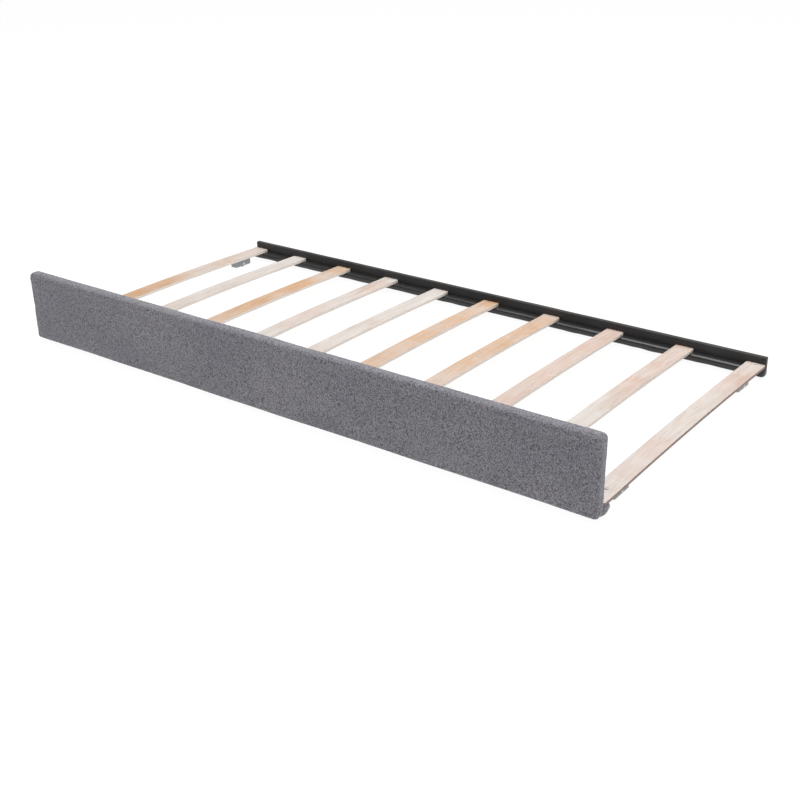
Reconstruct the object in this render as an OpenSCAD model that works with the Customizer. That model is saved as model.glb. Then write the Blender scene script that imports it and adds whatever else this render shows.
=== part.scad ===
// Trundle bed: an upholstered front panel and a low wrapped rear rail, joined by ten
// arched plywood slats, with a fixed caster under each end of the two outer slats.
// X runs along the bed, the front panel faces -Y, Z is up and the floor is Z = 0.

/* [Bed] */
// Length of the front panel along X, mm
bed_l = 1900; // [1700:10:2100]
// Depth from the front of the panel to the back of the rear rail, mm
bed_d = 992; // [900:1:1100]
// Clear height under the front panel and the rear rail, mm
floor_gap = 10; // [8:1:11]

/* [Front panel] */
// Height of the upholstered panel, mm
panel_h = 203; // [180:1:240]
// Thickness of the upholstered panel, mm
panel_t = 35; // [33:1:45]
// Thickness of the woven cover, mm
cover_t = 1.5; // [1:0.1:2]
// Thickness of the wooden core board, mm
board_t = 20; // [18:1:20]
// Depth of the ledge behind the panel, mm
front_ledge_d = 30; // [26:1:32]

/* [Rear rail] */
// How much shorter than the panel the rear rail is, mm
rail_short = 3; // [2:1:20]
// Height of the rear rail, mm
rail_h = 48; // [45:1:60]
// Thickness of the rear rail with its wrap, mm
rail_t = 17; // [16:1:20]
// Thickness of the black wrap, mm
wrap_t = 1; // [0.8:0.1:1.4]
// Depth of the ledge in front of the rear rail, mm
rear_ledge_d = 28; // [26:1:30]

/* [Slats] */
// Width of one slat, mm
slat_w = 55; // [45:1:60]
// Thickness of one slat, mm
slat_t = 8; // [7:0.5:8.5]
// Rise of the slat arch at mid span, mm
slat_rise = 6.5; // [5:0.5:9]

/* [Casters] */
// Wheel radius, mm
wheel_r = 14; // [12:1:14]
// Width of the wheel tread, mm
wheel_w = 20; // [16:1:22]
// Distance from the slat middle to each caster, mm
caster_reach = 355; // [320:1:360]

/* [Hidden] */
$fn = 64;

// Overshoot of cutting solids past the face they cut
cut = 1;

// Panel: outer radii, padding on each side of the core board, and derived places
panel_top_r = 14;
panel_bottom_r = 9;
panel_end_r = 13;
panel_plan_r = 9;
pad_front = panel_t - board_t - 2 * cover_t - 2;
pad_back = 2;
pad_top = 8;
pad_end = 10;
panel_mid_y = -bed_d / 2 + panel_t / 2;
panel_back_y = -bed_d / 2 + panel_t;
board_back_y = panel_back_y - cover_t - pad_back;
board_mid_y = board_back_y - board_t / 2;
board_l = bed_l - 2 * (cover_t + pad_end);
board_h = panel_h - 2 * cover_t - pad_top;
board_z = floor_gap + cover_t;

// Ledges that carry the slat ends
ledge_h = 20;
ledge_low_r = 7;
ledge_high_r = 11;
ledge_end_r = 9;
ledge_foot_r = 8;
ledge_brow_r = 4;
ledge_l = bed_l - 2;

// Rear rail
rail_l = bed_l - rail_short;
rail_front_y = bed_d / 2 - rail_t;
rail_mid_y = bed_d / 2 - rail_t / 2;
rail_edge_r = 3;
rail_heel_r = 10;

// Slats: even spacing between the outer two, each moved by a hand-set shift
slat_count = 10;
slat_shift = [0, -24, -30, -32, -36, -48, -34, -23, -7, 0];
slat_edge_gap = 28.5;
slat_end_gap = 0.5;
slat_corner_r = 5;
slat_z = floor_gap + ledge_h;
slat_mid_y = (panel_back_y + rail_front_y) / 2;
slat_half = (rail_front_y - panel_back_y) / 2 - slat_end_gap;
slat_seat = 30;
arch_half = slat_half - slat_seat;
arch_steps = 6;
// The stretch of slat over each caster is straight so that the plate lies flat on it
caster_flat = 62;
flat_in = caster_reach - caster_flat;
flat_out = caster_reach + caster_flat;
flat_tilt = atan((arch_z(flat_in) - arch_z(flat_out)) / (2 * caster_flat));
flat_z = slat_z + (arch_z(flat_in) + arch_z(flat_out)) / 2;

// Casters: sizes are measured from the axle, in a frame tilted with the slat
plate_t = 2;
plate_l = 120;
plate_w = 27;
plate_top = (flat_z - wheel_r) * cos(flat_tilt);
box_l = 74;
box_r = 5;
box_wall = 2;
box_bottom = 7 - wheel_r;
axle_r = 3;
axle_play = 0.06;
axle_head_r = 4.5;
axle_head_t = 1.2;
hub_r = 6;
hub_w = plate_w - 2 * box_wall - 0.6;
tread_r = 3;
web_depth = 2.5;
web_gap = 2.5;
bolt_reach = 52;
bolt_r = 2.5;
bolt_head_r = 4.5;
bolt_head_t = 2;
nut_flat = 8;
nut_t = 4;
nut_grip = 1.5;

// Screws and staples
screw_r = 2;
screw_head_r = 4;
screw_head_t = 2;
recess_w = 1;
recess_l = 4.4;
recess_t = 1;
// The rail's screw heads sit this far under the wrap, clear of the rounded heel
rear_head_sink = 1.2;
slat_bite = 5;
caster_bite = 6;
ledge_bite = 12;
front_screw_in = front_ledge_d / 2;
rear_screw_in = 16;
end_screw_in = 11;
staple_count = 12;
staple_w = 11;
staple_wire = 0.8;
staple_leg = 7;
front_slot = 6;
front_staple_off = 6.2;
rear_slot = 4;
rear_staple_off = 4.2;

wood_pale = [0.90, 0.84, 0.78];
wood_tan = [0.90, 0.72, 0.55];
wood_core = [0.78, 0.66, 0.48];
fabric_grey = [0.46, 0.46, 0.48];
foam_cream = [0.93, 0.90, 0.80];
wrap_black = [0.16, 0.16, 0.16];
housing_grey = [0.52, 0.54, 0.57];
steel_grey = [0.70, 0.70, 0.72];
nylon_white = [0.90, 0.90, 0.88];

function arch_z(t) = slat_rise * (1 - pow(t / arch_half, 2));

function slat_lift(t) = abs(t) >= arch_half ? 0 : arch_z(t);

function slat_x(i) =
  -(bed_l / 2 - slat_edge_gap) + i * (bed_l - 2 * slat_edge_gap) / (slat_count - 1)
  + slat_shift[i];

function gap_x(i) = (slat_x(i) + slat_x(i + 1)) / 2;

// ---- 2D helpers ----

module corner_waste(r) {
  difference() {
    translate([-cut, -cut])
      square(r + cut);
    translate([r, r])
      circle(r = r);
  }
}

// Rectangle from the origin with radii [lower left, lower right, upper right, upper left]
module rounded(w, h, r) {
  difference() {
    square([w, h]);
    if (r[0] > 0)
      corner_waste(r[0]);
    if (r[1] > 0)
      translate([w, 0]) mirror([1, 0]) corner_waste(r[1]);
    if (r[2] > 0)
      translate([w, h]) rotate(180) corner_waste(r[2]);
    if (r[3] > 0)
      translate([0, h]) mirror([0, 1]) corner_waste(r[3]);
  }
}

module rounded_mid(w, h, r) {
  translate([-w / 2, -h / 2])
    rounded(w, h, [r, r, r, r]);
}

// ---- 3D helpers ----

// Extrudes a Y-Z outline along X, centred
module along_x(l) {
  rotate([90, 0, 90])
    linear_extrude(height = l, center = true)
      children();
}

// Extrudes an X-Z outline along Y, centred
module along_y(l) {
  rotate([90, 0, 0])
    linear_extrude(height = l, center = true)
      children();
}

// The padded panel form, shrunk by inset on every side
module panel_form(inset) {
  w = panel_t - 2 * inset;
  h = panel_h - 2 * inset;
  l = bed_l - 2 * inset;
  low = panel_bottom_r - inset;
  high = panel_top_r - inset;
  translate([0, panel_mid_y, floor_gap + inset])
    intersection() {
      along_x(l)
        translate([-w / 2, 0])
          rounded(w, h, [low, low, high, high]);
      translate([0, 0, h / 2])
        along_y(w + 2 * cut)
          rounded_mid(l, h, panel_end_r - inset);
      translate([0, 0, -cut])
        linear_extrude(height = h + 2 * cut)
          rounded_mid(l, w, panel_plan_r - inset);
    }
}

// The rear rail form, shrunk by inset on every side
module rail_form(inset) {
  w = rail_t - 2 * inset;
  h = rail_h - 2 * inset;
  l = rail_l - 2 * inset;
  edge = rail_edge_r - inset;
  translate([0, rail_mid_y, floor_gap + inset])
    intersection() {
      along_x(l)
        translate([-w / 2, 0])
          rounded(w, h, [edge, rail_heel_r - inset, edge, edge]);
      translate([0, 0, -cut])
        linear_extrude(height = h + 2 * cut)
          rounded_mid(l, w, edge);
    }
}

// A ledge standing out along +Y from the plane Y = 0; back runs it past that plane
module ledge_form(l, depth, inset, back) {
  h = ledge_h - 2 * inset;
  d = depth - inset;
  low = ledge_low_r - inset;
  high = ledge_high_r - inset;
  e = ledge_end_r - inset;
  foot = ledge_foot_r - inset;
  brow = ledge_brow_r - inset;
  translate([0, -back, floor_gap + inset])
    intersection() {
      along_x(l - 2 * inset)
        rounded(d + back, h, [0, low, high, 0]);
      translate([-(l - 2 * inset) / 2, 0, -cut])
        linear_extrude(height = h + 2 * cut)
          rounded(l - 2 * inset, d + back, [0, 0, e, e]);
      translate([-(l - 2 * inset) / 2, d + back + cut, 0])
        rotate([90, 0, 0])
          linear_extrude(height = d + back + 2 * cut)
            rounded(l - 2 * inset, h, [foot, foot, brow, brow]);
    }
}

module ledge_wrap(l, depth, t) {
  difference() {
    ledge_form(l, depth, 0, 0);
    ledge_form(l, depth, t, cut);
  }
}

module at_front() {
  translate([0, panel_back_y, 0])
    children();
}

module at_rear() {
  translate([0, rail_front_y, 0])
    mirror([0, 1, 0])
      children();
}

// Pan-head screw: the head sits on Z = 0 and the shank runs down to -reach
module screw(reach) {
  difference() {
    union() {
      cylinder(h = screw_head_t, r = screw_head_r);
      screw_hole(reach);
    }
    translate([0, 0, screw_head_t])
      cross_recess();
  }
}

module screw_hole(reach) {
  translate([0, 0, -reach])
    cylinder(h = reach + 0.5, r = screw_r);
}

module cross_recess() {
  cube([recess_l, recess_w, 2 * recess_t], center = true);
  cube([recess_w, recess_l, 2 * recess_t], center = true);
}

// Staple driven upward from Z = 0, crown along X
module staple() {
  translate([-staple_w / 2, -staple_wire / 2, -staple_wire])
    cube([staple_w, staple_wire, staple_wire]);
  for (side = [0, 1])
    translate([-staple_w / 2 + side * (staple_w - staple_wire), -staple_wire / 2, -staple_wire])
      cube([staple_wire, staple_wire, staple_leg + staple_wire]);
}

module staple_rows(l, mid_y, off) {
  for (i = [0 : staple_count - 1], side = [-1, 1])
    translate([(i - (staple_count - 1) / 2) * l / staple_count, mid_y + side * off, floor_gap])
      staple();
}

// ---- Placed fasteners, used for the solids and for their holes ----

module at_front_ledge_screws() {
  for (i = [0 : slat_count - 2])
    translate([gap_x(i), panel_back_y + front_ledge_d, floor_gap + ledge_h / 2])
      rotate([-90, 0, 0])
        children();
}

module at_rear_ledge_screws() {
  for (i = [0 : slat_count - 2])
    translate([gap_x(i), bed_d / 2 - rear_head_depth, floor_gap + ledge_h / 2])
      rotate([-90, 0, 0])
        children();
}

module at_front_slat_screws() {
  for (i = [0 : slat_count - 1])
    translate([slat_x(i), panel_back_y + front_screw_in, floor_gap])
      mirror([0, 0, 1])
        children();
}

module at_rear_slat_screws() {
  for (i = [1 : slat_count - 2])
    translate([slat_x(i), rail_front_y - rear_screw_in, floor_gap])
      mirror([0, 0, 1])
        children();
}

// The two outer slats are screwed down from above at the rear rail
module at_rear_end_screws() {
  for (i = [0, slat_count - 1])
    translate([slat_x(i), rail_front_y - end_screw_in, slat_z + slat_t])
      children();
}

rear_head_depth = wrap_t + rear_head_sink + screw_head_t;
front_ledge_reach = front_ledge_d + cover_t + pad_back + ledge_bite;
rear_ledge_reach = rail_t - rear_head_depth + ledge_bite;
slat_screw_reach = ledge_h + slat_bite;
end_screw_reach = slat_t + ledge_bite;
caster_screw_reach = plate_t + caster_bite;

// Caster frame: origin on the axle, Z square to the slat above it
module at_caster(x, side) {
  translate([x, slat_mid_y + side * caster_reach, wheel_r])
    rotate([-side * flat_tilt, 0, 0])
      children();
}

// One through bolt holds the panel end of each front caster
module at_caster_bolts() {
  for (i = [0, slat_count - 1])
    at_caster(slat_x(i), -1)
      translate([0, -bolt_reach, plate_top])
        children();
}

// The other flange holes take wood screws from below
module at_caster_screws() {
  for (i = [0, slat_count - 1], side = [-1, 1], end = [-1, 1])
    if (side == 1 || end == 1)
      at_caster(slat_x(i), side)
        translate([0, end * bolt_reach, plate_top - plate_t])
          mirror([0, 0, 1])
            children();
}

slat_square_t = slat_t * cos(flat_tilt);

module bolt() {
  translate([0, 0, -plate_t - nut_t - nut_grip])
    cylinder(h = slat_square_t + plate_t + nut_t + nut_grip + 0.5, r = bolt_r);
  translate([0, 0, slat_square_t])
    difference() {
      cylinder(h = bolt_head_t, r = bolt_head_r);
      translate([0, 0, bolt_head_t])
        cross_recess();
    }
}

module bolt_bore() {
  translate([0, 0, -plate_t - cut])
    cylinder(h = slat_square_t + plate_t + 2 * cut, r = bolt_r);
}

// ---- Front panel ----

module front_board_form() {
  intersection() {
    translate([-board_l / 2, board_mid_y - board_t / 2, board_z])
      cube([board_l, board_t, board_h]);
    panel_form(cover_t);
  }
}

module front_board() {
  color(wood_core)
    difference() {
      front_board_form();
      at_front_ledge_screws()
        screw_hole(front_ledge_reach);
      staple_rows(board_l, board_mid_y, front_staple_off);
    }
}

module front_foam() {
  color(foam_cream)
    difference() {
      panel_form(cover_t);
      front_board_form();
      at_front_ledge_screws()
        screw_hole(front_ledge_reach);
    }
}

module front_cover() {
  color(fabric_grey)
    difference() {
      panel_form(0);
      panel_form(cover_t);
      translate([-board_l / 2 + pad_end, board_mid_y - front_slot / 2, floor_gap - cut])
        cube([board_l - 2 * pad_end, front_slot, cover_t + 2 * cut]);
      at_front_ledge_screws()
        screw_hole(front_ledge_reach);
      staple_rows(board_l, board_mid_y, front_staple_off);
    }
}

module front_staples() {
  color(steel_grey)
    staple_rows(board_l, board_mid_y, front_staple_off);
}

module front_ledge() {
  color(wood_core)
    difference() {
      at_front()
        ledge_form(ledge_l, front_ledge_d, cover_t, 0);
      at_front_ledge_screws()
        screw_hole(front_ledge_reach);
      at_front_slat_screws()
        screw_hole(slat_screw_reach);
    }
}

module front_ledge_cover() {
  color(fabric_grey)
    difference() {
      at_front()
        ledge_wrap(ledge_l, front_ledge_d, cover_t);
      at_front_ledge_screws()
        screw_hole(front_ledge_reach);
      at_front_slat_screws()
        screw_hole(slat_screw_reach);
    }
}

module front_ledge_screws() {
  color(steel_grey)
    at_front_ledge_screws()
      screw(front_ledge_reach);
}

module front_slat_screws() {
  color(steel_grey)
    at_front_slat_screws()
      screw(slat_screw_reach);
}

// ---- Rear rail ----

module rear_board() {
  color(wood_core)
    difference() {
      rail_form(wrap_t);
      at_rear_ledge_screws() {
        screw_hole(rear_ledge_reach);
        cylinder(h = rear_head_depth + cut, r = screw_head_r);
      }
      staple_rows(rail_l, rail_mid_y - 1, rear_staple_off);
    }
}

module rear_board_cover() {
  color(wrap_black)
    difference() {
      rail_form(0);
      rail_form(wrap_t);
      translate([-rail_l / 2 + pad_end, rail_mid_y - 1 - rear_slot / 2, floor_gap - cut])
        cube([rail_l - 2 * pad_end, rear_slot, wrap_t + 2 * cut]);
      at_rear_ledge_screws()
        screw_hole(rear_ledge_reach);
      staple_rows(rail_l, rail_mid_y - 1, rear_staple_off);
    }
}

module rear_staples() {
  color(steel_grey)
    staple_rows(rail_l, rail_mid_y - 1, rear_staple_off);
}

module rear_ledge() {
  color(wood_core)
    difference() {
      at_rear()
        ledge_form(ledge_l, rear_ledge_d, wrap_t, 0);
      at_rear_ledge_screws()
        screw_hole(rear_ledge_reach);
      at_rear_slat_screws()
        screw_hole(slat_screw_reach);
      at_rear_end_screws()
        screw_hole(end_screw_reach);
    }
}

module rear_ledge_cover() {
  color(wrap_black)
    difference() {
      at_rear()
        ledge_wrap(ledge_l, rear_ledge_d, wrap_t);
      at_rear_slat_screws()
        screw_hole(slat_screw_reach);
      at_rear_end_screws()
        screw_hole(end_screw_reach);
    }
}

module rear_ledge_screws() {
  color(steel_grey)
    at_rear_ledge_screws()
      screw(rear_ledge_reach);
}

module rear_slat_screws() {
  color(steel_grey)
    at_rear_slat_screws()
      screw(slat_screw_reach);
}

module rear_end_screws() {
  color(steel_grey)
    at_rear_end_screws()
      screw(end_screw_reach);
}

// ---- Slats ----

slat_stations = concat(
  [-slat_half, -arch_half, -flat_out],
  [for (i = [-arch_steps : arch_steps]) i * flat_in / arch_steps],
  [flat_out, arch_half, slat_half]
);
slat_last = len(slat_stations) - 1;

module slat_profile() {
  polygon(concat(
    [for (i = [0 : slat_last])
      [slat_stations[i], slat_lift(slat_stations[i])]],
    [for (i = [0 : slat_last])
      [slat_stations[slat_last - i], slat_lift(slat_stations[slat_last - i]) + slat_t]]
  ));
}

module slat_blank() {
  intersection() {
    along_x(slat_w)
      slat_profile();
    translate([0, 0, -cut])
      linear_extrude(height = slat_t + slat_rise + 2 * cut)
        rounded_mid(slat_w, 2 * slat_half, slat_corner_r);
  }
}

module slat(i, tone) {
  color(tone)
    difference() {
      translate([slat_x(i), slat_mid_y, slat_z])
        slat_blank();
      at_front_slat_screws()
        screw_hole(slat_screw_reach);
      at_rear_slat_screws()
        screw_hole(slat_screw_reach);
      at_rear_end_screws()
        screw_hole(end_screw_reach);
      if (i == 0 || i == slat_count - 1) {
        at_caster_bolts()
          bolt_bore();
        at_caster_screws()
          screw_hole(caster_screw_reach);
      }
    }
}

// ---- Casters ----

module caster_bolts() {
  color(steel_grey)
    at_caster_bolts()
      bolt();
}

module caster_nuts() {
  color(steel_grey)
    at_caster_bolts()
      translate([0, 0, -plate_t - nut_t])
        difference() {
          cylinder(h = nut_t, r = nut_flat / (2 * cos(30)), $fn = 6);
          translate([0, 0, -cut])
            cylinder(h = nut_t + 2 * cut, r = bolt_r);
        }
}

module caster_screws() {
  color(steel_grey)
    at_caster_screws()
      screw(caster_screw_reach);
}

module housing() {
  color(housing_grey)
    difference() {
      union() {
        translate([0, 0, plate_top - plate_t])
          linear_extrude(height = plate_t)
            rounded_mid(plate_w, plate_l, box_r);
        translate([0, 0, box_bottom])
          linear_extrude(height = plate_top - plate_t / 2 - box_bottom)
            rounded_mid(plate_w, box_l, box_r);
      }
      translate([0, 0, box_bottom - cut])
        linear_extrude(height = plate_top - plate_t - box_bottom + cut)
          rounded_mid(plate_w - 2 * box_wall, box_l - 2 * box_wall, box_r - box_wall);
      rotate([0, 90, 0])
        cylinder(h = plate_w + 2 * cut, r = axle_r, center = true);
      for (side = [-1, 1])
        translate([0, side * bolt_reach, plate_top])
          bolt_bore();
    }
}

module axle() {
  color(steel_grey)
    rotate([0, 90, 0]) {
      cylinder(h = plate_w, r = axle_r, center = true);
      for (side = [0, 1])
        mirror([0, 0, side])
          translate([0, 0, plate_w / 2])
            cylinder(h = axle_head_t, r = axle_head_r);
    }
}

// Half section of the wheel, radius along x and width along y
module wheel_section() {
  difference() {
    union() {
      translate([0, -wheel_w / 2])
        rounded(wheel_r, wheel_w, [0, tread_r, tread_r, 0]);
      translate([0, -hub_w / 2])
        square([hub_r, hub_w]);
    }
    translate([-cut, -hub_w / 2 - cut])
      square([axle_r + axle_play + cut, hub_w + 2 * cut]);
    for (side = [0, 1])
      mirror([0, side])
        translate([hub_r, wheel_w / 2 - web_depth])
          square([wheel_r - hub_r - web_gap - tread_r / 2, web_depth + cut]);
  }
}

module wheel() {
  color(nylon_white)
    rotate([0, 90, 0])
      rotate_extrude()
        wheel_section();
}

front_board();
front_foam();
front_cover();
front_staples();
front_ledge();
front_ledge_cover();
front_ledge_screws();
front_slat_screws();
rear_board();
rear_board_cover();
rear_staples();
rear_ledge();
rear_ledge_cover();
rear_ledge_screws();
rear_slat_screws();
rear_end_screws();
slat(0, wood_tan);  // slat_1
slat(1, wood_pale);  // slat_2
slat(2, wood_tan);  // slat_3
slat(3, wood_pale);  // slat_4
slat(4, wood_pale);  // slat_5
slat(5, wood_tan);  // slat_6
slat(6, wood_tan);  // slat_7
slat(7, wood_pale);  // slat_8
slat(8, wood_pale);  // slat_9
slat(9, wood_pale);  // slat_10
caster_bolts();
caster_nuts();
caster_screws();
at_caster(slat_x(0), -1) housing();  // caster_housing_1
at_caster(slat_x(0), 1) housing();  // caster_housing_2
at_caster(slat_x(9), -1) housing();  // caster_housing_3
at_caster(slat_x(9), 1) housing();  // caster_housing_4
at_caster(slat_x(0), -1) axle();  // caster_axle_1
at_caster(slat_x(0), 1) axle();  // caster_axle_2
at_caster(slat_x(9), -1) axle();  // caster_axle_3
at_caster(slat_x(9), 1) axle();  // caster_axle_4
at_caster(slat_x(0), -1) wheel();  // caster_wheel_1
at_caster(slat_x(0), 1) wheel();  // caster_wheel_2
at_caster(slat_x(9), -1) wheel();  // caster_wheel_3
at_caster(slat_x(9), 1) wheel();  // caster_wheel_4
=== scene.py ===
"""Looks of the trundle bed: soft upholstery, plywood slats, steel and nylon, a pale studio."""

import math

import bpy
import numpy as np
from mathutils import Matrix, Vector, noise


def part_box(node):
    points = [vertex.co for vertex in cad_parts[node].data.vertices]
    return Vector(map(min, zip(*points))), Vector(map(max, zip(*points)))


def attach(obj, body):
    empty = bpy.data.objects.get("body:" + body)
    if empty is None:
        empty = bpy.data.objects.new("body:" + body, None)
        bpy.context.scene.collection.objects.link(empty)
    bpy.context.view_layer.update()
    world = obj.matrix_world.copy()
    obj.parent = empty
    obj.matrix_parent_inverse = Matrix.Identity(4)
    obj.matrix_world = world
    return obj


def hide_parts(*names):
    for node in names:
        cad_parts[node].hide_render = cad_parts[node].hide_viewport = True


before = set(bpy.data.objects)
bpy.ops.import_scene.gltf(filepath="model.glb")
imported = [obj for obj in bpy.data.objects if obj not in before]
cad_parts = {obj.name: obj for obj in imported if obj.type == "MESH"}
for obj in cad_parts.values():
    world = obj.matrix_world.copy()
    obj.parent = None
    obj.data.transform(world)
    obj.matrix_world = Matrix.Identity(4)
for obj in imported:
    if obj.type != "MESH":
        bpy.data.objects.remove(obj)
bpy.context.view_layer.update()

MM = 0.001


# ---------------------------------------------------------------- node helpers


def new_material(name):
    mat = bpy.data.materials.new(name)
    mat.use_nodes = True
    tree = mat.node_tree
    tree.nodes.clear()
    out = tree.nodes.new("ShaderNodeOutputMaterial")
    shader = tree.nodes.new("ShaderNodeBsdfPrincipled")
    tree.links.new(shader.outputs["BSDF"], out.inputs["Surface"])
    return mat, tree, shader


def link(tree, source, target):
    tree.links.new(source, target)


def object_place(tree):
    return tree.nodes.new("ShaderNodeTexCoord").outputs["Object"]


def coords(tree, scale=(1, 1, 1), offset=(0, 0, 0)):
    """Object coordinates, scaled and then moved by offset."""
    mapping = tree.nodes.new("ShaderNodeMapping")
    mapping.inputs["Scale"].default_value = scale
    mapping.inputs["Location"].default_value = offset
    link(tree, object_place(tree), mapping.inputs["Vector"])
    return mapping.outputs["Vector"]


def part_of(tree, vector, axis):
    split = tree.nodes.new("ShaderNodeSeparateXYZ")
    link(tree, vector, split.inputs["Vector"])
    return split.outputs[axis]


def noise_tex(tree, vector, scale, detail=4.0, rough=0.55, distortion=0.0):
    node = tree.nodes.new("ShaderNodeTexNoise")
    node.inputs["Scale"].default_value = scale
    node.inputs["Detail"].default_value = detail
    node.inputs["Roughness"].default_value = rough
    node.inputs["Distortion"].default_value = distortion
    link(tree, vector, node.inputs["Vector"])
    return node.outputs["Fac"]


def voronoi_tex(tree, vector, scale, feature="F1", randomness=1.0):
    node = tree.nodes.new("ShaderNodeTexVoronoi")
    node.feature = feature
    node.inputs["Scale"].default_value = scale
    node.inputs["Randomness"].default_value = randomness
    link(tree, vector, node.inputs["Vector"])
    return node.outputs["Distance"]


def ramp(tree, value, stops):
    node = tree.nodes.new("ShaderNodeValToRGB")
    elements = node.color_ramp.elements
    elements.remove(elements[-1])
    elements[0].position = stops[0][0]
    elements[0].color = (*stops[0][1], 1.0)
    for place, colour in stops[1:]:
        elements.new(place).color = (*colour, 1.0)
    link(tree, value, node.inputs["Fac"])
    return node.outputs["Color"]


def remap(tree, value, low, high, start=0.0, end=1.0):
    """Carries start..end over to low..high, held at both ends."""
    node = tree.nodes.new("ShaderNodeMapRange")
    node.inputs["From Min"].default_value = start
    node.inputs["From Max"].default_value = end
    node.inputs["To Min"].default_value = low
    node.inputs["To Max"].default_value = high
    link(tree, value, node.inputs["Value"])
    return node.outputs["Result"]


def mix_colour(tree, factor, a, b, mode="MIX"):
    node = tree.nodes.new("ShaderNodeMix")
    node.data_type = "RGBA"
    node.blend_type = mode
    for socket, value in ((node.inputs[0], factor), (node.inputs[6], a), (node.inputs[7], b)):
        if hasattr(value, "links"):
            link(tree, value, socket)
        elif hasattr(value, "__len__"):
            socket.default_value = (*value, 1.0)
        else:
            socket.default_value = value
    return node.outputs[2]


def maths(tree, operation, a, b=0.0):
    node = tree.nodes.new("ShaderNodeMath")
    node.operation = operation
    for socket, value in ((node.inputs[0], a), (node.inputs[1], b)):
        if hasattr(value, "links"):
            link(tree, value, socket)
        else:
            socket.default_value = value
    return node.outputs[0]


def bump(tree, shader, height, strength, distance, below=None):
    node = tree.nodes.new("ShaderNodeBump")
    node.inputs["Strength"].default_value = strength
    node.inputs["Distance"].default_value = distance
    link(tree, height, node.inputs["Height"])
    if below is not None:
        link(tree, below, node.inputs["Normal"])
    link(tree, node.outputs["Normal"], shader.inputs["Normal"])
    return node.outputs["Normal"]


# ---------------------------------------------------------------- materials


def boucle(name, dark, mid, light, lump=2.9 * MM):
    """Looped, nubbly woven cloth: rounded lumps with dark gaps and loose lighter fibres."""
    mat, tree, shader = new_material(name)
    vector = coords(tree)
    warp = noise_tex(tree, vector, 0.55 / lump, detail=2.0)
    stretched = coords(tree, scale=(1.0, 1.0, 0.8))
    lumps = voronoi_tex(tree, stretched, 1.0 / lump, feature="SMOOTH_F1")
    loops = noise_tex(tree, vector, 1.6 / lump, detail=5.0, rough=0.65, distortion=1.2)
    fibre = noise_tex(tree, vector, 7.0 / lump, detail=3.0, rough=0.7)
    cloud = noise_tex(tree, vector, 7.0, detail=3.0)
    height = maths(tree, "SUBTRACT", loops, maths(tree, "MULTIPLY", lumps, 0.75))
    height = maths(tree, "ADD", height, maths(tree, "MULTIPLY", warp, 0.35))
    tone = ramp(tree, height, [(0.10, dark), (0.34, mid), (0.66, light)])
    patch = ramp(tree, cloud, [(0.35, (0.90, 0.91, 0.93)), (0.65, (1.06, 1.05, 1.03))])
    base = mix_colour(tree, 1.0, tone, patch, "MULTIPLY")
    fleck = remap(tree, fibre, 0.0, 0.35, 0.55, 0.78)
    base = mix_colour(tree, fleck, base, light)
    link(tree, base, shader.inputs["Base Color"])
    rough = remap(tree, fibre, 0.82, 1.0, 0.3, 0.7)
    link(tree, rough, shader.inputs["Roughness"])
    shader.inputs["Specular IOR Level"].default_value = 0.18
    shader.inputs["Sheen Weight"].default_value = 0.35
    shader.inputs["Sheen Roughness"].default_value = 0.45
    shader.inputs["Sheen Tint"].default_value = (0.80, 0.82, 0.86, 1.0)
    fine = bump(tree, shader, fibre, 0.35, 0.4 * MM)
    bump(tree, shader, height, 0.75, 1.2 * MM, below=fine)
    return mat


def coated_cloth(name, tone, rough_high, rough_low, coat):
    """Thin black wrap: a tight weave under a worn satin coat; tone is its middle grey."""
    mat, tree, shader = new_material(name)
    vector = coords(tree)
    weave = voronoi_tex(tree, vector, 900.0, randomness=0.55)
    drawn = coords(tree, scale=(0.6, 1.6, 2.2))
    crease = noise_tex(tree, drawn, 42.0, detail=5.0, rough=0.6, distortion=0.6)
    rub = noise_tex(tree, coords(tree, scale=(0.4, 1.0, 1.0)), 16.0, detail=6.0, rough=0.65)
    hue = (1.0, 0.94, 0.93)
    worn, middle, fresh = (tuple(tone * depth * part for part in hue) for depth in (1.45, 1.0, 0.70))
    base = ramp(tree, rub, [(0.30, fresh), (0.55, middle), (0.78, worn)])
    link(tree, base, shader.inputs["Base Color"])
    link(tree, remap(tree, rub, rough_high, rough_low, 0.3, 0.75), shader.inputs["Roughness"])
    shader.inputs["Specular IOR Level"].default_value = 0.30
    shader.inputs["Coat Weight"].default_value = coat
    shader.inputs["Coat Roughness"].default_value = 0.24
    shader.inputs["Sheen Weight"].default_value = 0.08
    shader.inputs["Sheen Roughness"].default_value = 0.5
    fine = bump(tree, shader, weave, 0.35, 0.25 * MM)
    bump(tree, shader, crease, 0.35, 0.9 * MM, below=fine)
    return mat


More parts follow.
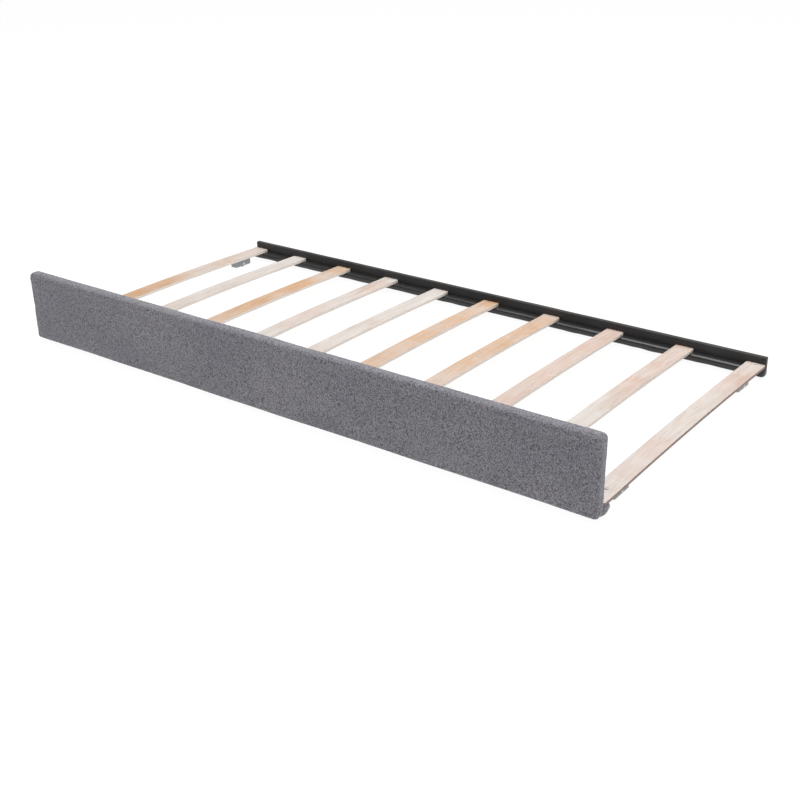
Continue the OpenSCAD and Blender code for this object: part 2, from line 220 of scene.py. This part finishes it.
def plywood(name, pale, warm, leans, seed, edge):
    """Slat veneer with long grain and warm streaks; thin layers show on its edges.

    leans are how far it leans to the warm tone at its front end and at its rear end.
    """
    mat, tree, shader = new_material(name)
    along = coords(tree, scale=(1.0, 0.09, 1.0), offset=(seed * 3.17, seed * 1.31, seed * 0.77))
    broad = coords(tree, scale=(0.5, 1.0, 1.0), offset=(seed * 1.7, seed * 0.9, 0.0))
    grain = noise_tex(tree, along, 160.0, detail=6.0, rough=0.62, distortion=0.35)
    streak = noise_tex(tree, along, 38.0, detail=4.0, rough=0.6, distortion=0.8)
    patch = noise_tex(tree, broad, 5.5, detail=3.0, rough=0.55, distortion=0.4)
    lean = remap(tree, part_of(tree, object_place(tree), "Y"), leans[0], leans[1], *LEAN_SPAN)
    blend = maths(tree, "ADD", lean, remap(tree, patch, -0.40, 0.40, 0.34, 0.66))
    colour = mix_colour(tree, blend, pale, warm)
    grain_tones = [(0.30, (0.80, 0.77, 0.74)), (0.52, (1.0, 1.0, 1.0)), (0.75, (1.06, 1.06, 1.06))]
    fine = ramp(tree, grain, grain_tones)
    colour = mix_colour(tree, 0.75, colour, fine, "MULTIPLY")
    vein = ramp(tree, streak, [(0.32, (0.86, 0.80, 0.74)), (0.5, (1.0, 1.0, 1.0))])
    colour = mix_colour(tree, 0.6, colour, vein, "MULTIPLY")

    layer = tree.nodes.new("ShaderNodeTexWave")
    layer.bands_direction = "Z"
    layer.inputs["Scale"].default_value = 95.0
    layer.inputs["Distortion"].default_value = 1.0
    layer.inputs["Detail"].default_value = 2.0
    link(tree, object_place(tree), layer.inputs["Vector"])
    darker = tuple(c * 0.80 for c in edge)
    sides = ramp(tree, layer.outputs["Fac"], [(0.30, darker), (0.55, edge)])
    sides = mix_colour(tree, 0.5, sides, fine, "MULTIPLY")
    # Sides take the edge tone given. The pale one is set lighter than the top as painted light; the wave
    # bands over it are the real plywood layers.
    facing = tree.nodes.new("ShaderNodeNewGeometry").outputs["Normal"]
    flatness = maths(tree, "ABSOLUTE", part_of(tree, facing, "Z"))
    on_top = remap(tree, flatness, 0.0, 1.0, 0.45, 0.75)
    colour = mix_colour(tree, on_top, sides, colour)
    link(tree, colour, shader.inputs["Base Color"])
    link(tree, remap(tree, grain, 0.62, 0.46, 0.3, 0.7), shader.inputs["Roughness"])
    shader.inputs["Specular IOR Level"].default_value = 0.35
    bump(tree, shader, grain, 0.25, 0.35 * MM)
    return mat


def raw_board(name):
    mat, tree, shader = new_material(name)
    long_grain = coords(tree, scale=(0.08, 1.0, 1.0))
    grain = noise_tex(tree, long_grain, 120.0, detail=6.0, rough=0.6, distortion=0.4)
    tones = [(0.3, (0.34, 0.23, 0.13)), (0.55, (0.54, 0.40, 0.25)), (0.8, (0.63, 0.49, 0.33))]
    base = ramp(tree, grain, tones)
    link(tree, base, shader.inputs["Base Color"])
    link(tree, remap(tree, grain, 0.8, 0.6), shader.inputs["Roughness"])
    bump(tree, shader, grain, 0.4, 0.5 * MM)
    return mat


def foam(name):
    mat, tree, shader = new_material(name)
    cells = voronoi_tex(tree, coords(tree), 700.0)
    base = ramp(tree, cells, [(0.1, (0.62, 0.56, 0.38)), (0.6, (0.86, 0.81, 0.62))])
    link(tree, base, shader.inputs["Base Color"])
    shader.inputs["Roughness"].default_value = 0.95
    bump(tree, shader, cells, 0.5, 0.6 * MM)
    return mat


def metal(name, colour, rough, coarse=60.0):
    mat, tree, shader = new_material(name)
    mottle = noise_tex(tree, coords(tree), coarse, detail=5.0, rough=0.6)
    scratch = noise_tex(tree, coords(tree, scale=(1.0, 14.0, 1.0)), 300.0, detail=3.0)
    low = tuple(c * 0.86 for c in colour)
    high = tuple(min(1.0, c * 1.08) for c in colour)
    link(tree, ramp(tree, mottle, [(0.3, low), (0.7, high)]), shader.inputs["Base Color"])
    shader.inputs["Metallic"].default_value = 1.0
    link(tree, remap(tree, mottle, rough - 0.08, rough + 0.12, 0.3, 0.7), shader.inputs["Roughness"])
    bump(tree, shader, scratch, 0.12, 0.1 * MM)
    return mat


def nylon(name):
    mat, tree, shader = new_material(name)
    cloud = noise_tex(tree, coords(tree), 120.0, detail=4.0)
    scuff = noise_tex(tree, coords(tree, scale=(0.2, 1.0, 1.0)), 480.0, detail=4.0)
    base = ramp(tree, cloud, [(0.3, (0.74, 0.74, 0.71)), (0.7, (0.84, 0.84, 0.82))])
    link(tree, base, shader.inputs["Base Color"])
    link(tree, remap(tree, scuff, 0.34, 0.52, 0.3, 0.7), shader.inputs["Roughness"])
    shader.inputs["Subsurface Weight"].default_value = 0.12
    shader.inputs["Subsurface Radius"].default_value = (0.003, 0.003, 0.0025)
    bump(tree, shader, scuff, 0.15, 0.1 * MM)
    return mat


GREY_CLOTH = boucle("grey_boucle", (0.082, 0.079, 0.090), (0.190, 0.185, 0.206), (0.375, 0.368, 0.396))
BLACK_WRAP = coated_cloth("black_wrap", 0.032, 0.66, 0.52, 0.0)
# The rear ledge has the same black wrap as the rail. Its darker tone here is painted shade; its coat and
# lower roughness give it gloss.
SHELF_WRAP = coated_cloth("black_wrap_glossy_painted_shade", 0.016, 0.42, 0.22, 0.35)
CORE_WOOD = raw_board("core_wood")
FOAM = foam("padding_foam")
ZINC = metal("zinc_steel", (0.60, 0.61, 0.63), 0.34)
BOLT_STEEL = metal("bolt_steel", (0.47, 0.46, 0.46), 0.46)
DULL_ZINC = metal("dull_zinc", (0.74, 0.72, 0.70), 0.66)
HOUSING = metal("housing_zinc", (0.285, 0.295, 0.30), 0.42, coarse=150.0)
NYLON = nylon("nylon_white")

PALE = (0.585, 0.50, 0.445)
PALE_COOL = (0.605, 0.565, 0.53)
TAN = (0.555, 0.345, 0.200)
TAN_PINK = (0.575, 0.425, 0.360)
# Y range over which a slat goes from its front lean to its rear lean
LEAN_SPAN = (-0.15, 0.45)
# Slat side tone: the plywood edges' own colour, set lighter than the tops as painted light on the sides.
EDGE_PALE_PAINTED_LIGHT = (0.78, 0.71, 0.65)
EDGE_DARK = (0.28, 0.20, 0.17)
# Each slat: pale tone, warm tone, and how far it leans to the warm tone in front and at the rear
SLAT_TONES = {
    1: (PALE, TAN, (1.05, -0.15)),
    2: (PALE_COOL, PALE, (0.60, 0.10)),
    3: (PALE, TAN, (0.68, 0.50)),
    4: (PALE_COOL, TAN_PINK, (0.25, 0.30)),
    5: (PALE_COOL, PALE, (0.25, 0.15)),
    6: (PALE, TAN, (0.50, 0.55)),
    7: (PALE, TAN, (0.55, 0.55)),
    8: (PALE, TAN_PINK, (0.35, 0.60)),
    9: (PALE_COOL, TAN_PINK, (0.25, 0.70)),
    10: (PALE_COOL, TAN_PINK, (0.25, 0.35)),
}


# ---------------------------------------------------------------- CAD nodes


def dress(node, material, width=0.0):
    """Gives a CAD node its material and, if asked, softly broken edges."""
    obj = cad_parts[node]
    obj.data.materials.clear()
    obj.data.materials.append(material)
    if width > 0:
        weld = obj.modifiers.new("weld", "WELD")
        weld.merge_threshold = 0.01 * MM
        edge = obj.modifiers.new("broken_edges", "BEVEL")
        edge.width = width
        edge.segments = 2
        edge.limit_method = "ANGLE"
        edge.angle_limit = math.radians(35)
        edge.use_clamp_overlap = True


for i, (pale, warm, leans) in SLAT_TONES.items():
    edge_tone = EDGE_DARK if i == len(SLAT_TONES) else EDGE_PALE_PAINTED_LIGHT
    dress(f"slat_{i}", plywood(f"slat_wood_{i}", pale, warm, leans, i, edge_tone), 0.8 * MM)

CASTERS = 4
for i in range(1, CASTERS + 1):
    dress(f"caster_housing_{i}", HOUSING, 0.5 * MM)
    dress(f"caster_axle_{i}", ZINC, 0.4 * MM)
    dress(f"caster_wheel_{i}", NYLON, 0.4 * MM)

for node in (
    "front_staples",
    "rear_staples",
    "front_ledge_screws",
    "rear_ledge_screws",
    "front_slat_screws",
    "rear_slat_screws",
    "caster_nuts",
    "caster_screws",
):
    dress(node, ZINC)
dress("caster_bolts", BOLT_STEEL, 0.5 * MM)
dress("rear_end_screws", DULL_ZINC)
for node in ("front_board", "rear_board", "front_ledge", "rear_ledge"):
    dress(node, CORE_WOOD)
dress("front_foam", FOAM)


# ---------------------------------------------------------------- soft pieces


def corner_stations(low, high, low_r, high_r, step):
    """Places along one side of a box: evenly turned round each corner, even between."""
    turns = [1 - math.tan(math.radians(a)) for a in (45, 33.75, 22.5, 11.25)]
    inner_low, inner_high = low + low_r, high - high_r
    count = max(1, round((inner_high - inner_low) / step))
    middle = [inner_low + (inner_high - inner_low) * k / count for k in range(count + 1)]
    start = [low + low_r * t for t in turns]
    end = [high - high_r * t for t in reversed(turns)]
    return np.array(start + middle + end)


def soft_box(name, low, high, low_r, high_r, step):
    """A closed box with rounded edges, meshed finely enough to take cloth shape.

    low_r and high_r are the X, Y, Z radii of rounding at its low and high sides.
    """
    low, high, low_r, high_r = (np.array(v) for v in (low, high, low_r, high_r))
    axes = [corner_stations(low[a], high[a], low_r[a], high_r[a], step) for a in range(3)]
    sizes = [len(a) for a in axes]
    index, points, faces = {}, [], []

    def vertex(key):
        if key not in index:
            index[key] = len(points)
            points.append([axes[a][key[a]] for a in range(3)])
        return index[key]

    for axis in range(3):
        u, v = (axis + 1) % 3, (axis + 2) % 3
        for end in (0, sizes[axis] - 1):
            for i in range(sizes[u] - 1):
                for j in range(sizes[v] - 1):
                    ring = []
                    for di, dj in ((0, 0), (1, 0), (1, 1), (0, 1)):
                        key = [0, 0, 0]
                        key[axis], key[u], key[v] = end, i + di, j + dj
                        ring.append(vertex(tuple(key)))
                    faces.append(ring if end else ring[::-1])
    points = np.array(points)
    inner = np.clip(points, low + low_r, high - high_r)
    away = points - inner
    radii = np.where(away < 0, low_r, high_r)
    scaled = away / radii
    points = inner + scaled / np.linalg.norm(scaled, axis=1, keepdims=True) * radii
    mesh = bpy.data.meshes.new(name)
    mesh.from_pydata(points.tolist(), [], faces)
    mesh.update()
    obj = bpy.data.objects.new(name, mesh)
    bpy.context.scene.collection.objects.link(obj)
    return obj


def read_points(mesh):
    out = np.empty(len(mesh.vertices) * 3)
    mesh.vertices.foreach_get("co", out)
    return out.reshape(-1, 3)


def write_points(mesh, points):
    mesh.vertices.foreach_set("co", points.ravel())
    mesh.update()


def read_normals(mesh):
    out = np.empty(len(mesh.vertices) * 3)
    mesh.vertices.foreach_get("normal", out)
    return out.reshape(-1, 3)


def inflate(obj, pin_weights, cap, pressure=4.0, frames=20):
    """Blows the cloth up a little against its pinned edges and keeps the result."""
    rest = read_points(obj.data)
    group = obj.vertex_groups.new(name="pinned")
    for level in np.unique(pin_weights.round(2)):
        chosen = np.nonzero(pin_weights.round(2) == level)[0]
        group.add([int(k) for k in chosen], float(level), "REPLACE")
    cloth = obj.modifiers.new("cloth", "CLOTH")
    settings = cloth.settings
    settings.quality = 6
    settings.mass = 0.3
    settings.tension_stiffness = 12
    settings.compression_stiffness = 12
    settings.shear_stiffness = 4
    settings.bending_stiffness = 0.6
    settings.use_pressure = True
    settings.uniform_pressure_force = pressure
    settings.vertex_group_mass = "pinned"
    settings.pin_stiffness = 1.0
    settings.effector_weights.gravity = 0.0
    cloth.collision_settings.use_collision = False
    cloth.point_cache.frame_start = 1
    cloth.point_cache.frame_end = frames
    scene = bpy.context.scene
    for number in range(1, frames + 1):
        scene.frame_set(number)
    swollen = obj.evaluated_get(bpy.context.evaluated_depsgraph_get()).data
    moved = read_points(swollen) - rest
    outward = read_normals(obj.data)
    sunk = np.minimum((moved * outward).sum(axis=1, keepdims=True), 0.0)
    moved -= sunk * outward
    far = np.linalg.norm(moved, axis=1, keepdims=True)
    moved *= cap * np.tanh(far / cap) / np.maximum(far, 1e-9)
    obj.modifiers.clear()
    obj.vertex_groups.clear()
    scene.frame_set(1)
    write_points(obj.data, rest + moved)


def subdivide(obj):
    """Applies one smooth subdivision, so that the added points are real."""
    sub = obj.modifiers.new("smooth", "SUBSURF")
    sub.levels = 1
    sub.render_levels = 1
    done = bpy.data.meshes.new_from_object(obj.evaluated_get(bpy.context.evaluated_depsgraph_get()))
    old = obj.data
    obj.modifiers.clear()
    obj.data = done
    bpy.data.meshes.remove(old)


def lumpy(obj, depth, size, stretch=(1.0, 1.0, 1.0), seed=0.0, lift=0.0, flat_top=False):
    """Moves each point along its normal by smooth noise, raised by lift."""
    points = read_points(obj.data)
    normals = read_normals(obj.data)
    offset = Vector((seed, seed * 0.7, seed * 1.3))
    scale = np.array(stretch) / size
    amount = np.array([noise.noise(Vector(p * scale) + offset) for p in points])
    amount += lift
    if flat_top:
        amount *= np.clip((0.97 - normals[:, 2]) / 0.2, 0.0, 1.0)
    write_points(obj.data, points + normals * (amount * depth)[:, None])


END_REACH = 12 * MM
END_SPREAD = 16 * MM


def full_ends(obj, swell, centre_y):
    """Rounds the two ends of a ledge outward, where the wrap is folded over them."""
    points = read_points(obj.data)
    low, high = points.min(axis=0), points.max(axis=0)
    middle = (low + high) / 2
    reach = np.abs(points[:, 0]) - (high[0] - END_REACH)
    near = np.clip(reach / END_REACH, 0.0, 1.0)
    across = np.exp(-(((points[:, 1] - centre_y) / END_SPREAD) ** 2))
    points[:, 0] += np.sign(points[:, 0]) * swell * near * across
    under = np.clip((middle[2] - points[:, 2]) / (high[2] - middle[2]), 0.0, 1.0)
    points[:, 2] -= 0.3 * swell * near * across * under
    write_points(obj.data, points)


def finish_soft(obj, material, replaced):
    obj.data.materials.clear()
    obj.data.materials.append(material)
    obj.data.polygons.foreach_set("use_smooth", [True] * len(obj.data.polygons))
    obj.data.update()
    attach(obj, "frame")
    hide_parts(*replaced)


# Front panel cover: tight over a flat board, full along its top, pinned where it is stapled
cover_low, cover_high = (np.array(c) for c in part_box("front_cover"))
SHRINK = 0.3 * MM
panel_low = cover_low + SHRINK
panel_high = cover_high - SHRINK
panel_low_r = np.array([9.5, 9.5, 8.0]) * MM
panel_high_r = np.array([9.5, 9.5, 13.0]) * MM
panel = soft_box("front_panel_cloth", panel_low, panel_high, panel_low_r, panel_high_r, 9 * MM)
points = read_points(panel.data)
held = np.zeros(len(points))
held[points[:, 1] > panel_high[1] - 3 * MM] = 1.0
held[points[:, 2] < panel_low[2] + 2 * MM] = 1.0
inflate(panel, held, 3.0 * MM)
subdivide(panel)


def end_fold(points):
    """Fills out the left end a little and draws it in at half height, where the cover is folded."""
    left = np.exp(-((points[:, 0] - cover_low[0]) / (14 * MM)) ** 2)
    level = (cover_low[2] + cover_high[2]) / 2
    waist = np.exp(-((points[:, 2] - level) / (7 * MM)) ** 2)
    points[:, 0] += (2.2 * waist - 1.0) * MM * left
    return points


def top_fold(points):
    """Raises a faint wavering fold where the cover turns over the top of the board."""
    for k, (x, y, z) in enumerate(points):
        if y > panel_low[1] + 12 * MM or z < panel_high[2] - 45 * MM:
            continue
        wander = noise.noise(Vector((x * 6.0, 0.0, 4.0)))
        strength = 0.55 + 0.9 * noise.noise(Vector((x * 11.0, 3.0, 0.0)))
        line = panel_high[2] - (17 + 5 * wander) * MM
        points[k, 1] -= 1.3 * MM * max(strength, 0.0) * math.exp(-(((z - line) / (6 * MM)) ** 2))
    return points


write_points(panel.data, top_fold(end_fold(read_points(panel.data))))
lumpy(panel, 1.2 * MM, 0.11, stretch=(0.6, 1.0, 1.0), seed=3.0, lift=0.8)
lumpy(panel, 0.5 * MM, 0.007, seed=11.0)
finish_soft(panel, GREY_CLOTH, ["front_cover"])

# Ledge behind the front panel
low, high = (np.array(c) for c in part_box("front_ledge_cover"))
foot_low = low - np.array([1.2, 22, 0.5]) * MM
foot_high = high + np.array([1.2, 1.0, 0]) * MM
foot_r = np.full(3, 9.5) * MM
foot = soft_box("front_ledge_cloth", foot_low, foot_high, foot_r, foot_r, 7 * MM)
subdivide(foot)
full_ends(foot, 5.0 * MM, panel_high[1])
lumpy(foot, 0.9 * MM, 0.05, seed=5.0, lift=0.5, flat_top=True)
lumpy(foot, 0.4 * MM, 0.007, seed=12.0, flat_top=True)
finish_soft(foot, GREY_CLOTH, ["front_ledge_cover"])

# Rear rail wrap and rear ledge wrap
low, high = (np.array(c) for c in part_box("rear_board_cover"))
rail_low_r = np.array([2.6, 2.6, 8.0]) * MM
rail_high_r = np.array([2.6, 7.0, 2.6]) * MM
rail = soft_box("rear_rail_wrap", low, high, rail_low_r, rail_high_r, 8 * MM)
subdivide(rail)
lumpy(rail, 0.4 * MM, 0.05, stretch=(0.5, 1, 1), seed=7.0, lift=0.2)
finish_soft(rail, BLACK_WRAP, ["rear_board_cover"])

low, high = (np.array(c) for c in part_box("rear_ledge_cover"))
shelf_low = low - np.array([1.5, 1.0, 0.8]) * MM
shelf_high = high + np.array([1.5, 8, 0]) * MM
shelf_low_r = np.array([7.0, 12.0, 6.0]) * MM
shelf_high_r = np.array([7.0, 6.5, 8.5]) * MM
shelf = soft_box("rear_ledge_wrap", shelf_low, shelf_high, shelf_low_r, shelf_high_r, 7 * MM)
subdivide(shelf)
full_ends(shelf, 4.0 * MM, (shelf_low[1] + shelf_high[1]) / 2)
lumpy(shelf, 1.3 * MM, 0.05, stretch=(0.8, 1, 1), seed=9.0, lift=0.4, flat_top=True)
lumpy(shelf, 0.9 * MM, 0.018, stretch=(0.5, 1, 1), seed=19.0, lift=0.2, flat_top=True)
finish_soft(shelf, SHELF_WRAP, ["rear_ledge_cover"])


# ---------------------------------------------------------------- stage, light, camera


def studio_floor():
    """White paper: mostly its own glow, and only faintly shaded."""
    mesh = bpy.data.meshes.new("floor")
    half = 30.0
    corners = [(-half, -half, 0), (half, -half, 0), (half, half, 0), (-half, half, 0)]
    mesh.from_pydata(corners, [], [(0, 1, 2, 3)])
    floor = bpy.data.objects.new("floor", mesh)
    bpy.context.scene.collection.objects.link(floor)
    mat, tree, shader = new_material("floor_paper")
    shader.inputs["Base Color"].default_value = (0.10, 0.10, 0.10, 1.0)
    shader.inputs["Roughness"].default_value = 0.9
    shader.inputs["Specular IOR Level"].default_value = 0.0
    shader.inputs["Emission Color"].default_value = (1.0, 1.0, 1.0, 1.0)
    shader.inputs["Emission Strength"].default_value = 0.95
    mesh.materials.append(mat)


def area_light(name, place, target, size, power):
    data = bpy.data.lights.new(name, "AREA")
    data.shape = "RECTANGLE"
    data.size, data.size_y = size
    data.energy = power
    light = bpy.data.objects.new(name, data)
    light.location = place
    aim = Vector(target) - Vector(place)
    light.rotation_euler = aim.to_track_quat("-Z", "Y").to_euler()
    bpy.context.scene.collection.objects.link(light)


def studio_world():
    """White at the horizon, so that floor and background meet softly, and dimmer overhead."""
    world = bpy.data.worlds.new("studio")
    bpy.context.scene.world = world
    world.use_nodes = True
    tree = world.node_tree
    background = tree.nodes["Background"]
    background.inputs["Color"].default_value = (1.0, 1.0, 1.0, 1.0)
    around = tree.nodes.new("ShaderNodeTexCoord").outputs["Generated"]
    fade = remap(tree, part_of(tree, around, "Z"), 0.98, 0.32, 0.02, 0.40)
    link(tree, fade, background.inputs["Strength"])


studio_floor()
studio_world()
area_light("overhead", (0.3, 1.0, 4.0), (0, 0.2, 0), (5.0, 4.0), 250.0)
area_light("front_fill", (2.5, -4.5, 2.2), (0, 0, 0.1), (3.0, 2.0), 10.0)

CAMERA_PLACE = (1.9890, -2.5875, 1.3712)
CAMERA_LENS = 54.75
CAMERA_YAW, CAMERA_PITCH, CAMERA_ROLL = (math.radians(a) for a in (36.90, 24.82, -0.82))


def place_camera():
    data = bpy.data.cameras.new("camera")
    data.sensor_width = 36.0
    data.lens = CAMERA_LENS
    data.clip_end = 100.0
    camera = bpy.data.objects.new("camera", data)
    level = math.cos(CAMERA_PITCH)
    ahead = Vector((-math.sin(CAMERA_YAW) * level, math.cos(CAMERA_YAW) * level, -math.sin(CAMERA_PITCH)))
    right = Vector((math.cos(CAMERA_YAW), math.sin(CAMERA_YAW), 0.0))
    up = right.cross(ahead)
    right_rolled = right * math.cos(CAMERA_ROLL) + up * math.sin(CAMERA_ROLL)
    up_rolled = up * math.cos(CAMERA_ROLL) - right * math.sin(CAMERA_ROLL)
    turn = Matrix((right_rolled, up_rolled, -ahead)).transposed()
    camera.matrix_world = Matrix.Translation(CAMERA_PLACE) @ turn.to_4x4()
    bpy.context.scene.collection.objects.link(camera)
    bpy.context.scene.camera = camera


place_camera()
bpy.context.scene.view_settings.view_transform = "Standard"
bpy.context.scene.view_settings.look = "None"
